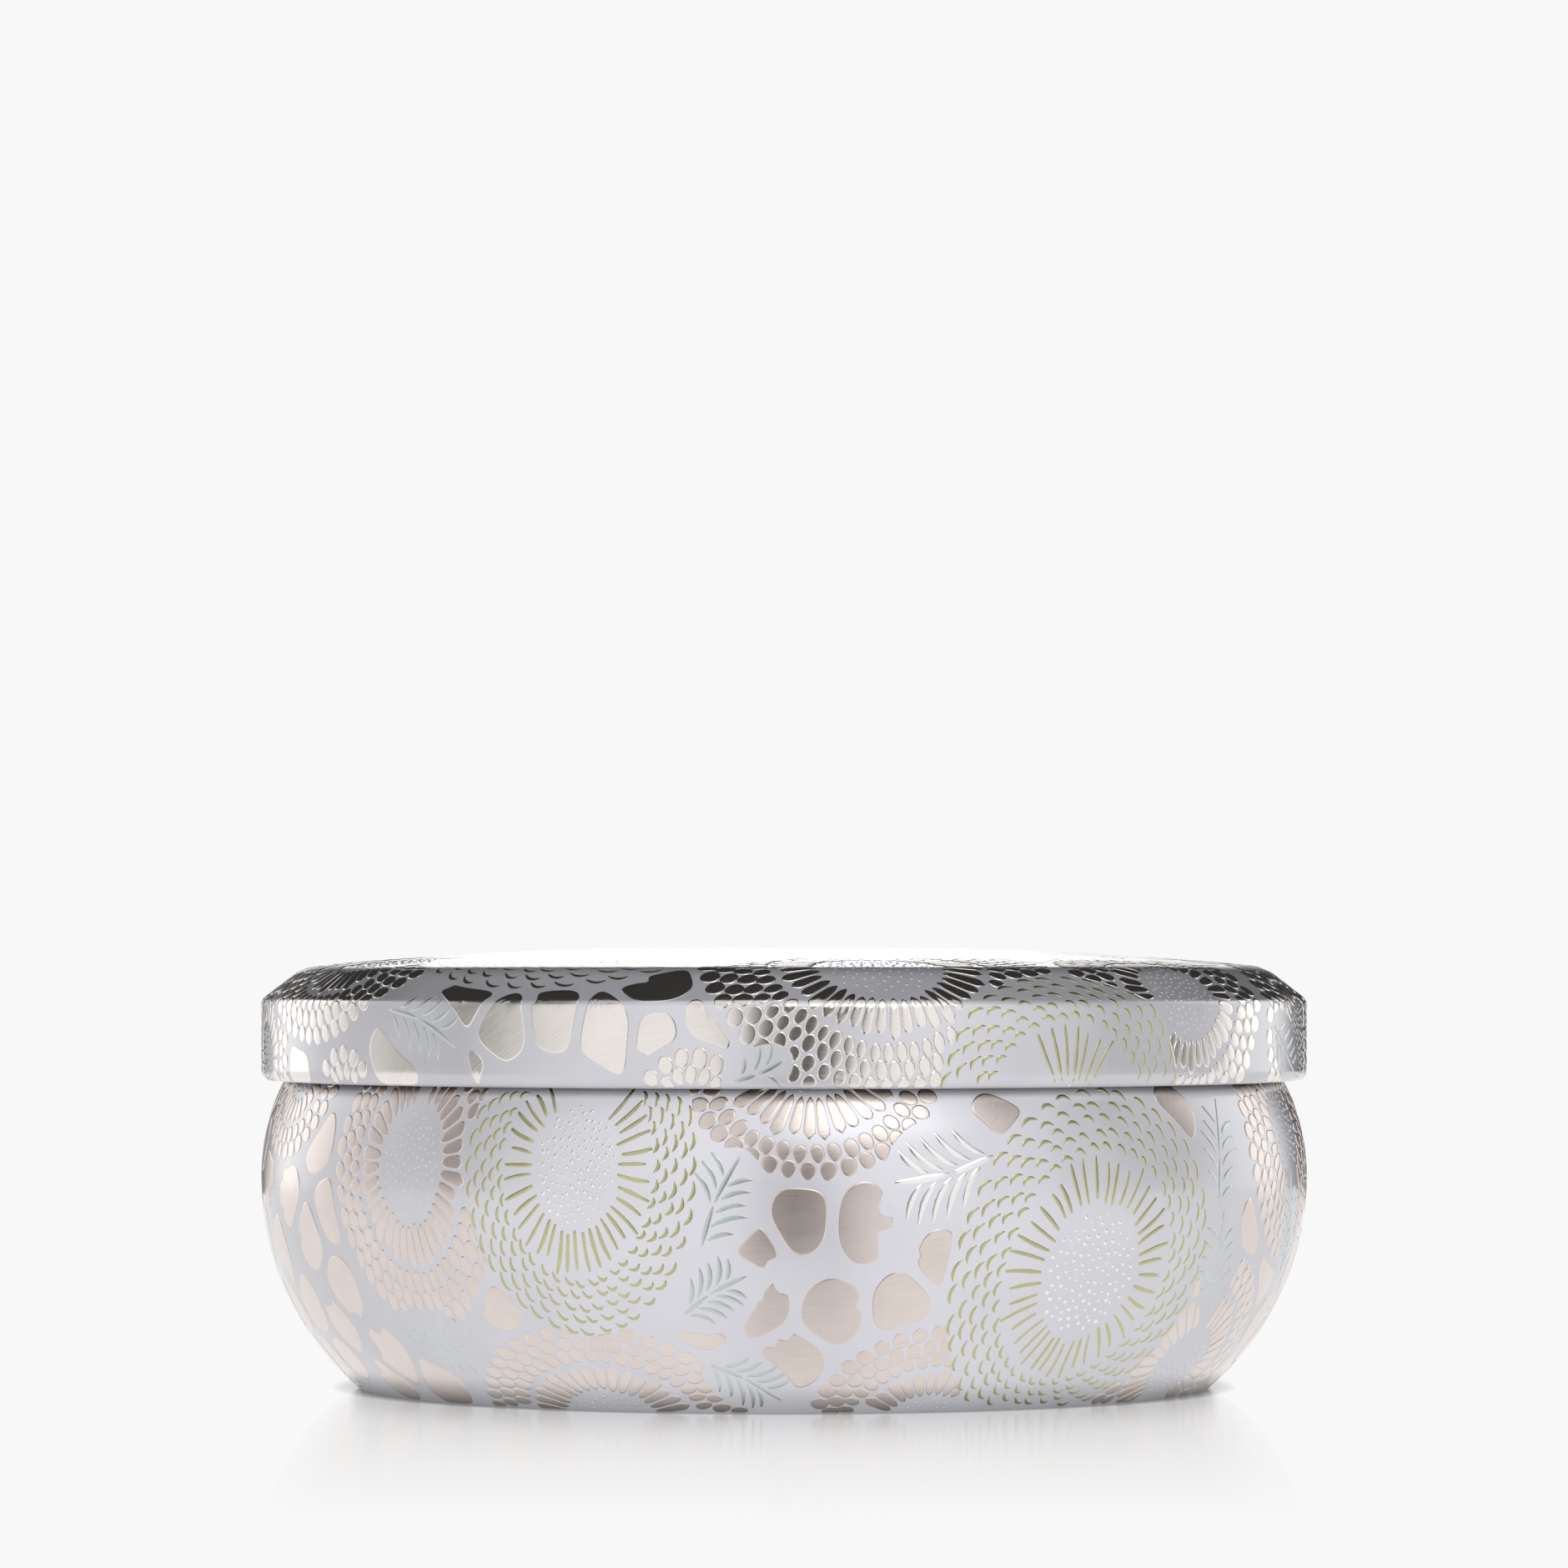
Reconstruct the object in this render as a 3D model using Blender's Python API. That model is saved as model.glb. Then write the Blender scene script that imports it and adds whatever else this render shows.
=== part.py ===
"""A round candle tin: a bulged tinplate bowl with a slip-on lid, and the wax and three wicks it holds.

Metres, +Z up. The origin is the middle of the base, on the table. Every piece is turned about its own
upright axis, from a profile of (radius, height) points in millimetres, with heights above the table.
"""
import math

import bmesh
import bpy

# ---- driving dimensions, in millimetres ----
TIN_RADIUS = 60.0            # widest part of the bowl, and the outside of the lid's skirt
BELLY_HEIGHT = 24.3          # height at which the bowl is widest
FOOT_RADIUS = 48.7           # outer edge of the ring the tin stands on
FOOT_WIDTH = 2.0             # width of that ring
BASE_RECESS = 1.2            # how far the base panel is above the table
SHOULDER_ARC = 23.7          # radius of the bowl's curve above its widest part
NECK_BLEND = 2.0             # radius of the hollow bend from there into the neck
SHEET = 0.3                  # tinplate thickness
GAP = 0.3                    # clearance between neighbouring pieces

LID_BOTTOM = 34.8            # lowest point of the lid when it is on
LID_TOP = 50.3               # flat middle of the lid
LID_FLAT_RADIUS = 11.0       # how far the flat middle reaches
LID_CURL = 0.9               # outside radius of the lid's rolled edge
DOME_EDGE_RADIUS = 53.5      # where the lid's shallow dome ends
DOME_EDGE_SLOPE = 5.5        # degrees below level at that edge
SHOULDER_ROUND = 6.0         # radius of the bend between the dome and the lid's sloped shoulder
SHOULDER_SLOPE = 38.0        # degrees below level on the sloped shoulder
SKIRT_ROUND = 1.2            # radius of the bend between the sloped shoulder and the skirt
RIM_HEIGHT = 44.8            # centre of the bowl's rolled rim
RIM_CURL = 0.8               # outside radius of the rolled rim

WAX_TOP = 38.0
WICK_CIRCLE = 22.0           # distance of each wick from the middle
WICK_ANGLES = (90, 210, 330)
WICK_RADIUS = 1.1
WICK_TOP = 44.0
WICK_TRIM = 0.25             # small bevel round a wick's cut end
STICKER_RADIUS = 6.35
STICKER_THICKNESS = 0.8
TAB_RADIUS = 7.5             # flat disc of a wick sustainer
TAB_NECK_TOP = 9.0           # top of a sustainer's crimped neck
TAB_NECK_WALL = 0.35
TAB_FLARE = 0.6              # slope between a sustainer's neck and its disc
LABEL_RADIUS = 42.0
LABEL_THICKNESS = 0.2

LARGE_STEPS = 64             # sides of the bowl, lid, wax and label
SMALL_STEPS = 24             # sides of the wicks and what holds them
SHARP_ANGLE = 40             # degrees between faces that meet in a sharp edge
MM = 0.001

# ---- worked out from them ----
LID_MOUTH = TIN_RADIUS - 2 * LID_CURL
RIM_RADIUS = LID_MOUTH - GAP
NECK_RADIUS = RIM_RADIUS - 2 * RIM_CURL + SHEET
FLOOR_TOP = BASE_RECESS + SHEET
STICKER_BOTTOM = FLOOR_TOP + GAP
STICKER_TOP = STICKER_BOTTOM + STICKER_THICKNESS
TAB_BOTTOM = STICKER_TOP + GAP
TAB_TOP = TAB_BOTTOM + SHEET
TAB_BORE = WICK_RADIUS + GAP
TAB_NECK_RADIUS = TAB_BORE + TAB_NECK_WALL


def arc(centre, radius, start, end, steps):
    """Points on an arc about a centre, from one angle to another in degrees."""
    points = []
    for step in range(steps + 1):
        angle = math.radians(start + (end - start) * step / steps)
        points.append((centre[0] + radius * math.cos(angle), centre[1] + radius * math.sin(angle)))
    return points


def bowl_side(inset, foot_height):
    """The bowl's side from a foot height up to its neck, moved in from the outside by an inset.

    It is the deep lower curve, the tighter curve above the widest part, and the hollow bend into the neck.
    The three arcs keep their centres, so the inside of the sheet is parallel to the outside.
    """
    reach = TIN_RADIUS - FOOT_RADIUS
    lower_arc = (BELLY_HEIGHT ** 2 + reach ** 2) / (2 * reach)
    lower_centre = (TIN_RADIUS - lower_arc, BELLY_HEIGHT)
    foot_angle = math.degrees(math.asin((foot_height - BELLY_HEIGHT) / (lower_arc - inset)))

    upper_centre = (TIN_RADIUS - SHOULDER_ARC, BELLY_HEIGHT)
    blend_radius = NECK_RADIUS + NECK_BLEND
    blend_across = blend_radius - upper_centre[0]
    blend_up = math.sqrt((SHOULDER_ARC + NECK_BLEND) ** 2 - blend_across ** 2)
    blend_centre = (blend_radius, BELLY_HEIGHT + blend_up)
    blend_angle = math.degrees(math.atan2(blend_up, blend_across))

    lower = arc(lower_centre, lower_arc - inset, foot_angle, 0, 7)
    upper = arc(upper_centre, SHOULDER_ARC - inset, 0, blend_angle, 4)
    blend = arc(blend_centre, NECK_BLEND + inset, 180 + blend_angle, 180, 2)
    return lower + upper[1:] + blend[1:]


def bowl_profile():
    """Up the inside from the middle of the floor, over the rolled rim, and down the outside."""
    foot_inner = FOOT_RADIUS - FOOT_WIDTH
    recess_edge = foot_inner - BASE_RECESS / 3
    floor = [(0, FLOOR_TOP), (recess_edge + SHEET, FLOOR_TOP), (foot_inner + SHEET, SHEET)]
    underside = [(foot_inner, 0), (recess_edge, BASE_RECESS), (0, BASE_RECESS)]

    rim_centre = (RIM_RADIUS - RIM_CURL, RIM_HEIGHT)
    roll_end = -110
    roll_outside = arc(rim_centre, RIM_CURL, 180, roll_end, 8)
    roll_inside = arc(rim_centre, RIM_CURL - SHEET, roll_end, 180, 8)

    inside = bowl_side(SHEET, SHEET)
    outside = list(reversed(bowl_side(0, 0)))
    return floor + inside + roll_outside + roll_inside + outside + underside


def lid_side(inset):
    """The lid from the edge of its flat middle to the top of its skirt, moved in by an inset."""
    dome_arc = (DOME_EDGE_RADIUS - LID_FLAT_RADIUS) / math.sin(math.radians(DOME_EDGE_SLOPE))
    dome_centre = (LID_FLAT_RADIUS, LID_TOP - dome_arc)
    dome_end = 90 - DOME_EDGE_SLOPE

    # The bend takes over where the dome ends, so both centres are on the line square to that edge.
    across = math.cos(math.radians(dome_end))
    up = math.sin(math.radians(dome_end))
    bend_centre = (
        dome_centre[0] + (dome_arc - SHOULDER_ROUND) * across,
        dome_centre[1] + (dome_arc - SHOULDER_ROUND) * up,
    )
    bend_end = 90 - SHOULDER_SLOPE

    # The skirt's bend touches the sloped shoulder above it and the skirt below it.
    across = math.cos(math.radians(bend_end))
    up = math.sin(math.radians(bend_end))
    skirt_radius = TIN_RADIUS - SKIRT_ROUND
    reach = SHOULDER_ROUND - SKIRT_ROUND - (skirt_radius - bend_centre[0]) * across
    skirt_centre = (skirt_radius, bend_centre[1] + reach / up)

    dome = arc(dome_centre, dome_arc - inset, 90, dome_end, 3)
    bend = arc(bend_centre, SHOULDER_ROUND - inset, dome_end, bend_end, 3)
    skirt = arc(skirt_centre, SKIRT_ROUND - inset, bend_end, 0, 3)
    return dome + bend[1:] + skirt


def lid_profile():
    """From the middle of the top down the outside, round the rolled edge, and back up the inside."""
    roll_centre = (TIN_RADIUS - LID_CURL, LID_BOTTOM + LID_CURL)
    roll_end = -250
    roll_outside = arc(roll_centre, LID_CURL, 0, roll_end, 8)
    roll_inside = arc(roll_centre, LID_CURL - SHEET, roll_end, 0, 8)

    outside = [(0, LID_TOP)] + lid_side(0)
    inside = list(reversed(lid_side(SHEET))) + [(0, LID_TOP - SHEET)]
    return outside + roll_outside + roll_inside + inside


def wax_profile():
    """The wax is flat on top, and follows the inside of the bowl with a small clearance."""
    inset = SHEET + GAP
    side = list(reversed(bowl_side(inset, STICKER_BOTTOM)))
    return [(0, WAX_TOP), (NECK_RADIUS - inset, WAX_TOP)] + side + [(0, STICKER_BOTTOM)]


def wick_well_profile():
    """The space in the wax round one wick, its sustainer and its sticker, open at both ends."""
    neck = TAB_NECK_RADIUS + GAP
    tab = TAB_RADIUS + GAP
    neck_top = TAB_NECK_TOP + GAP
    tab_top = TAB_TOP + GAP
    above = WAX_TOP + 1
    below = STICKER_BOTTOM - 1
    return [
        (0, above),
        (TAB_BORE, above),
        (TAB_BORE, neck_top),
        (neck, neck_top),
        (neck, tab_top + TAB_FLARE),
        (neck + TAB_FLARE, tab_top),
        (tab, tab_top),
        (tab, below),
        (0, below),
    ]


def wick_profile():
    return [
        (0, WICK_TOP),
        (WICK_RADIUS - WICK_TRIM, WICK_TOP),
        (WICK_RADIUS, WICK_TOP - WICK_TRIM),
        (WICK_RADIUS, TAB_BOTTOM),
        (0, TAB_BOTTOM),
    ]


def sustainer_profile():
    """A flat disc with a crimped neck, open through the middle for the wick."""
    return [
        (TAB_BORE, TAB_NECK_TOP),
        (TAB_NECK_RADIUS, TAB_NECK_TOP),
        (TAB_NECK_RADIUS, TAB_TOP + TAB_FLARE),
        (TAB_NECK_RADIUS + TAB_FLARE, TAB_TOP),
        (TAB_RADIUS, TAB_TOP),
        (TAB_RADIUS, TAB_BOTTOM),
        (TAB_BORE, TAB_BOTTOM),
    ]


def disc_profile(radius, bottom, thickness):
    top = bottom + thickness
    return [(0, top), (radius, top), (radius, bottom), (0, bottom)]


def material(name, colour, roughness, metallic):
    look = bpy.data.materials.new(name)
    look.use_nodes = True
    look.diffuse_color = (*colour, 1)
    shader = look.node_tree.nodes["Principled BSDF"]
    shader.inputs["Base Color"].default_value = (*colour, 1)
    shader.inputs["Roughness"].default_value = roughness
    shader.inputs["Metallic"].default_value = metallic
    return look


def turned(name, profile, steps, look, place=(0, 0, 0), closed=False):
    """An object made by turning a profile about its own axis, which stands at a place in millimetres.

    Profile heights stay above the table, wherever the object's origin is. A closed profile goes round a
    hole, so its last point joins its first.
    """
    outline = bmesh.new()
    corners = [outline.verts.new((radius * MM, 0, (height - place[2]) * MM)) for radius, height in profile]
    lines = [outline.edges.new(pair) for pair in zip(corners, corners[1:])]
    if closed:
        lines.append(outline.edges.new((corners[-1], corners[0])))
    bmesh.ops.spin(
        outline,
        geom=corners + lines,
        cent=(0, 0, 0),
        axis=(0, 0, 1),
        angle=2 * math.pi,
        steps=steps,
    )
    bmesh.ops.remove_doubles(outline, verts=outline.verts, dist=0.001 * MM)
    bmesh.ops.recalc_face_normals(outline, faces=outline.faces)

    mesh = bpy.data.meshes.new(name)
    outline.to_mesh(mesh)
    outline.free()
    mesh.shade_smooth()
    mesh.set_sharp_from_angle(angle=math.radians(SHARP_ANGLE))
    mesh.materials.append(look)
    piece = bpy.data.objects.new(name, mesh)
    piece.location = [value * MM for value in place]
    bpy.context.scene.collection.objects.link(piece)
    return piece


def cut(piece, cutter):
    """Take a cutter's shape out of a piece, and keep the cutter out of sight."""
    cutter.hide_render = True
    cutter.display_type = "WIRE"
    modifier = piece.modifiers.new(cutter.name, "BOOLEAN")
    modifier.operation = "DIFFERENCE"
    modifier.solver = "EXACT"
    modifier.object = cutter


def wick_place(angle):
    across = WICK_CIRCLE * math.cos(math.radians(angle))
    along = WICK_CIRCLE * math.sin(math.radians(angle))
    return (across, along, 0)


def build():
    for leftover in list(bpy.data.objects):
        bpy.data.objects.remove(leftover)

    print_look = material("printed_tinplate", (0.60, 0.56, 0.61), 0.35, 0.6)
    lid_look = material("printed_lid_tinplate", (0.64, 0.58, 0.62), 0.30, 0.6)
    wax_look = material("wax", (0.90, 0.86, 0.76), 0.45, 0)
    cotton_look = material("cotton", (0.88, 0.85, 0.78), 0.9, 0)
    steel_look = material("tinned_steel", (0.70, 0.70, 0.71), 0.35, 1)
    sticker_look = material("adhesive_foam", (0.86, 0.86, 0.84), 0.8, 0)
    paper_look = material("label_paper", (0.93, 0.92, 0.90), 0.75, 0)

    turned("tin_body", bowl_profile(), LARGE_STEPS, print_look)
    turned("lid", lid_profile(), LARGE_STEPS, lid_look, place=(0, 0, LID_BOTTOM))
    wax = turned("wax_fill", wax_profile(), LARGE_STEPS, wax_look)

    for number, angle in enumerate(WICK_ANGLES, start=1):
        place = wick_place(angle)
        well = turned(f"wick_well_{number}", wick_well_profile(), SMALL_STEPS, wax_look, place)
        cut(wax, well)
        turned(f"wick_{number}", wick_profile(), SMALL_STEPS, cotton_look, place)
        turned(
            f"wick_sustainer_{number}",
            sustainer_profile(),
            SMALL_STEPS,
            steel_look,
            place,
            closed=True,
        )
        sticker = disc_profile(STICKER_RADIUS, STICKER_BOTTOM, STICKER_THICKNESS)
        turned(f"wick_sticker_{number}", sticker, SMALL_STEPS, sticker_look, place)

    label = disc_profile(LABEL_RADIUS, BASE_RECESS - GAP - LABEL_THICKNESS, LABEL_THICKNESS)
    turned("base_label", label, LARGE_STEPS, paper_look)


build()
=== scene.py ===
"""Looks for the candle tin: embossed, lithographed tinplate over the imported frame, with wax and wicks inside.

Lengths in this file are millimetres until a mesh is made, and MM turns them into metres. Azimuth 0 is the
front of the tin, which faces -Y, and azimuths grow towards +X.
"""

import math
import random

import bmesh
import bpy
import numpy as np
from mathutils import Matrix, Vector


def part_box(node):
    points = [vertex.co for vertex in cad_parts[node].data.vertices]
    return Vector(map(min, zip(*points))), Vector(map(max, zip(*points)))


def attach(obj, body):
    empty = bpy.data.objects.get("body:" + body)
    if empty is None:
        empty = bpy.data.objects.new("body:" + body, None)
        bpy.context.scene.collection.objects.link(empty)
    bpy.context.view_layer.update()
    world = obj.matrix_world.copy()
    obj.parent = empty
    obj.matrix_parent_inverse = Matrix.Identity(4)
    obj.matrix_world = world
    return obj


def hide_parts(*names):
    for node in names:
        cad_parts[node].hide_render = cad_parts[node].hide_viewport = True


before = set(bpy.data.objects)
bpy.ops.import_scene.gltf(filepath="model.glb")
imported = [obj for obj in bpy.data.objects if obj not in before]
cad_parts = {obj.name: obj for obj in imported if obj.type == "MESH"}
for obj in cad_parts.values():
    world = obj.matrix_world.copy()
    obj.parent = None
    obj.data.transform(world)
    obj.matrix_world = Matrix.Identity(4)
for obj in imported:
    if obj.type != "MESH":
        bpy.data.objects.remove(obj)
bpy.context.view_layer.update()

MM = 0.001
lid_low, lid_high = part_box("lid")

# ---- sizes that follow the frame ----
TIN_RADIUS = lid_high.x / MM
RIM_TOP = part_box("tin_body")[1].z / MM
LID_BOTTOM = lid_low.z / MM
LID_TOP = lid_high.z / MM
WAX_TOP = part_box("wax_fill")[1].z / MM
STICKER_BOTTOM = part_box("wick_sticker_1")[0].z / MM

# ---- shape of the sheet metal, as in the CAD but for the lid's rolled edge ----
SHEET = 0.3
GAP = 0.3
BELLY_HEIGHT = 24.3
FOOT_RADIUS = 48.7
FOOT_WIDTH = 2.0
BASE_RECESS = 1.2
SHOULDER_ARC = 23.7
NECK_BLEND = 2.0
RIM_CURL = 0.8
LID_CURL = 0.9
LID_ROLL_RISE = 1.5          # half the height of the lid's rolled edge, which is taller than it is thick
LID_ROLL_LIFT = 0.4          # the rolled edge is drawn this far above the bottom of the CAD's round one
LID_PRINT_END = -80          # degrees round that edge, from its outside, where the print ends
LID_ROLL_END = -250          # degrees round it where the sheet ends
RIM_ROLL_END = -110          # the same for the bowl's rolled rim
LID_FLAT_RADIUS = 11.0
DOME_EDGE_RADIUS = 53.5
DOME_EDGE_SLOPE = 5.5
SHOULDER_ROUND = 6.0
SHOULDER_SLOPE = 38.0
SKIRT_ROUND = 1.2
LID_MOUTH = TIN_RADIUS - 2 * LID_CURL
RIM_RADIUS = LID_MOUTH - GAP
NECK_RADIUS = RIM_RADIUS - 2 * RIM_CURL + SHEET

# ---- how fine the surfaces are, and how high the print stands ----
PROFILE_STEP = 0.35          # between points along a turned profile
TURN_STEPS = 288             # sides of a large turned piece
PRINT_STEP = 0.5             # between points of a printed shape
EMBOSS_HEIGHT = 0.045        # on the bowl, and added to the flat height on the lid's shoulder and skirt
FLAT_HEIGHT = 0.005          # of the print on the flat top of the lid
WINDOW_DEPTH = 0.5           # share of the lid's embossing that its windows have
LID_EMBOSS_START = 41.0      # distance from the middle of the lid where the embossing starts to rise
LID_EMBOSS_GROWTH = 7.0      # and over which it reaches its full height
EMBOSS_EDGE = 0.08           # width of the slope round an embossed shape
SINK = 0.4                   # how far a shape's edge goes under the skin, for each mm that it rises
LEAST_SINK = 0.004
LEAST_AREA = 0.12            # a shape cut smaller than this, in square mm, is left out
LEAST_SHARE = 0.3            # and so is one cut below this share of itself
EDGE_TRIM = 0.35             # ink left between a shape and a motif that lies over it
SAME = 1e-6                  # lengths below this count as nothing

GIRTH = 2 * math.pi * TIN_RADIUS


# ==== Profiles of the bowl and the lid ====

def arc(centre, radius, start, end):
    """Points on an arc about a centre, from one angle to another in degrees, at an even pitch."""
    steps = max(8, math.ceil(abs(math.radians(end - start)) * radius / PROFILE_STEP))
    angles = np.radians(np.linspace(start, end, steps + 1))
    return np.column_stack((centre[0] + radius * np.cos(angles), centre[1] + radius * np.sin(angles)))


def straight(start, end):
    """Points on a straight line at about the same pitch, both ends included."""
    steps = max(1, math.ceil(math.dist(start, end) / (3 * PROFILE_STEP)))
    shares = np.linspace(0, 1, steps + 1)[:, None]
    return np.array(start) + (np.array(end) - np.array(start)) * shares


def joined(*stretches):
    """Stretches of profile end to end, without the points that two of them share."""
    points = np.vstack(stretches)
    apart = np.hypot(*np.diff(points, axis=0).T) > SAME
    return points[np.concatenate(([True], apart))]


def bowl_side(inset, foot_height):
    """The bowl's side from its neck down to a foot height, moved in from the outside by an inset."""
    reach = TIN_RADIUS - FOOT_RADIUS
    lower_arc = (BELLY_HEIGHT ** 2 + reach ** 2) / (2 * reach)
    lower_centre = (TIN_RADIUS - lower_arc, BELLY_HEIGHT)
    foot_angle = math.degrees(math.asin((foot_height - BELLY_HEIGHT) / (lower_arc - inset)))
    upper_centre = (TIN_RADIUS - SHOULDER_ARC, BELLY_HEIGHT)
    blend_radius = NECK_RADIUS + NECK_BLEND
    blend_across = blend_radius - upper_centre[0]
    blend_up = math.sqrt((SHOULDER_ARC + NECK_BLEND) ** 2 - blend_across ** 2)
    blend_angle = math.degrees(math.atan2(blend_up, blend_across))
    blend_centre = (blend_radius, BELLY_HEIGHT + blend_up)
    blend = arc(blend_centre, NECK_BLEND + inset, 180, 180 + blend_angle)
    upper = arc(upper_centre, SHOULDER_ARC - inset, blend_angle, 0)
    lower = arc(lower_centre, lower_arc - inset, 0, foot_angle)
    return joined(blend, upper, lower)


def lid_side(inset):
    """The lid from the edge of its flat middle to the top of its skirt, moved in by an inset."""
    dome_arc = (DOME_EDGE_RADIUS - LID_FLAT_RADIUS) / math.sin(math.radians(DOME_EDGE_SLOPE))
    dome_centre = (LID_FLAT_RADIUS, LID_TOP - dome_arc)
    dome_end = 90 - DOME_EDGE_SLOPE
    across = math.cos(math.radians(dome_end))
    up = math.sin(math.radians(dome_end))
    bend_centre = (
        dome_centre[0] + (dome_arc - SHOULDER_ROUND) * across,
        dome_centre[1] + (dome_arc - SHOULDER_ROUND) * up,
    )
    bend_end = 90 - SHOULDER_SLOPE
    across = math.cos(math.radians(bend_end))
    up = math.sin(math.radians(bend_end))
    skirt_radius = TIN_RADIUS - SKIRT_ROUND
    reach = SHOULDER_ROUND - SKIRT_ROUND - (skirt_radius - bend_centre[0]) * across
    skirt_centre = (skirt_radius, bend_centre[1] + reach / up)
    dome = arc(dome_centre, dome_arc - inset, 90, dome_end)
    bend = arc(bend_centre, SHOULDER_ROUND - inset, dome_end, bend_end)
    skirt = arc(skirt_centre, SKIRT_ROUND - inset, bend_end, 0)
    return joined(dome, bend, straight(bend[-1], skirt[0]), skirt)


def lid_roll(inset, start, end):
    """The oval rolled edge of the lid, moved in by an inset."""
    points = arc((0, 0), 1.0, start, end) * (LID_CURL - inset, LID_ROLL_RISE - inset)
    return points + (TIN_RADIUS - LID_CURL, LID_BOTTOM + LID_ROLL_LIFT + LID_ROLL_RISE)


class Skin:
    """The printed outside of a turned piece, measured along a profile that runs down and outwards."""

    def __init__(self, profile):
        self.profile = profile
        self.along = np.concatenate(([0], np.cumsum(np.hypot(*np.diff(profile, axis=0).T))))
        tangent = np.gradient(profile, self.along, axis=0)
        tangent /= np.linalg.norm(tangent, axis=1)[:, None]
        self.outward = np.column_stack((-tangent[:, 1], tangent[:, 0]))

    def read(self, column, along):
        return np.interp(along, self.along, column)

    def along_at(self, height):
        """The distance along at which the skin comes down to a height."""
        return np.interp(-height, -self.profile[:, 1], self.along)

    def place(self, azimuth, along, lift):
        """Points at azimuths in radians and distances along, lifted off the skin."""
        radius = self.read(self.profile[:, 0], along) + self.read(self.outward[:, 0], along) * lift
        height = self.read(self.profile[:, 1], along) + self.read(self.outward[:, 1], along) * lift
        return np.column_stack((radius * np.sin(azimuth), -radius * np.cos(azimuth), height))


# The bowl is printed from the start of its neck down to its foot, and the lid from its middle to the
# underside of its rolled edge.
lid_flat = straight((0, LID_TOP), (LID_FLAT_RADIUS, LID_TOP))
lid_edge = lid_roll(0, 0, LID_PRINT_END)
lid_skirt = straight(lid_side(0)[-1], lid_edge[0])
body_skin = Skin(bowl_side(0, 0))
lid_skin = Skin(joined(joined(lid_flat, lid_side(0), lid_skirt), lid_edge))


# ==== The print: flat drawings laid on the skins as thin embossed shapes ====

class Sheet:
    """All embossed shapes of one colour on one piece, gathered into one mesh."""

    def __init__(self):
        self.points = []
        self.faces = []
        self.count = 0

    def add(self, rows, closed):
        """Add a grid of points. Closed rows are rings that shrink, and the last is filled to its middle."""
        high, wide, _ = rows.shape
        numbers = self.count + np.arange(high * wide).reshape(high, wide)
        if closed:
            numbers = np.column_stack((numbers, numbers[:, 0]))
        quads = np.stack((numbers[:-1, :-1], numbers[:-1, 1:], numbers[1:, 1:], numbers[1:, :-1]), axis=-1)
        self.faces += quads.reshape(-1, 4).tolist()
        self.points.append(rows.reshape(-1, 3))
        self.count += high * wide
        if closed:
            self.points.append(rows[-1].mean(axis=0)[None])
            last = numbers[-1]
            self.faces += [[a, b, self.count] for a, b in zip(last[:-1].tolist(), last[1:].tolist())]
            self.count += 1


class Area:
    """An oval that one drawn motif fills. It hides what is drawn below it."""

    def __init__(self, centre, size, tilt=0, period=None):
        self.centre = np.array(centre, float)
        self.size = np.array(size, float)
        self.tilt = math.radians(tilt)
        self.period = period

    def turn(self, points, angle):
        cos, sin = math.cos(angle), math.sin(angle)
        return points @ np.array(((cos, sin), (-sin, cos)))

    def offset(self, points):
        """How far points are from the centre, the short way round the tin."""
        away = points - self.centre
        away[..., 0] = short_way(away[..., 0], self.period)
        return away

    def share(self, points, margin=0.0):
        """0 at the centre, and 1 at the edge moved out by a margin."""
        flat = self.turn(self.offset(points), -self.tilt)
        return np.linalg.norm(flat / (self.size + margin), axis=-1)

    def push_out(self, points, margin):
        """Points with those inside the oval moved to its edge."""
        share = np.maximum(self.share(points, margin), 1e-3)[:, None]
        away = self.offset(points)
        return points + np.where(share < 1, away / share - away, 0)

    def polar(self, share, angle):
        """Points at shares of the way out and angles in radians, which may be arrays."""
        flat = np.column_stack(np.broadcast_arrays(share * np.cos(angle), share * np.sin(angle)))
        return self.centre + self.turn(flat * self.size, self.tilt)


def short_way(across, period):
    """A distance round the tin, or several, the short way. Flat drawings have no period."""
    return (across + period / 2) % period - period / 2 if period else across


def around(points):
    """A closed outline's points at an even pitch, anticlockwise."""
    closed = np.vstack((points, points[:1]))
    along = np.concatenate(([0], np.cumsum(np.hypot(*np.diff(closed, axis=0).T))))
    count = max(9, math.ceil(along[-1] / PRINT_STEP))
    where = np.linspace(0, along[-1], count, endpoint=False)
    even = np.column_stack([np.interp(where, along, closed[:, i]) for i in range(2)])
    return even if area_of(even) > 0 else even[::-1]


def area_of(points):
    x, y = points.T
    return 0.5 * float(np.sum(x * np.roll(y, -1) - np.roll(x, -1) * y))


def softened(points, passes):
    """A closed outline with its corners rounded off."""
    for _ in range(passes):
        points = (np.roll(points, 1, axis=0) + 2 * points + np.roll(points, -1, axis=0)) / 4
    return points


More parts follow.
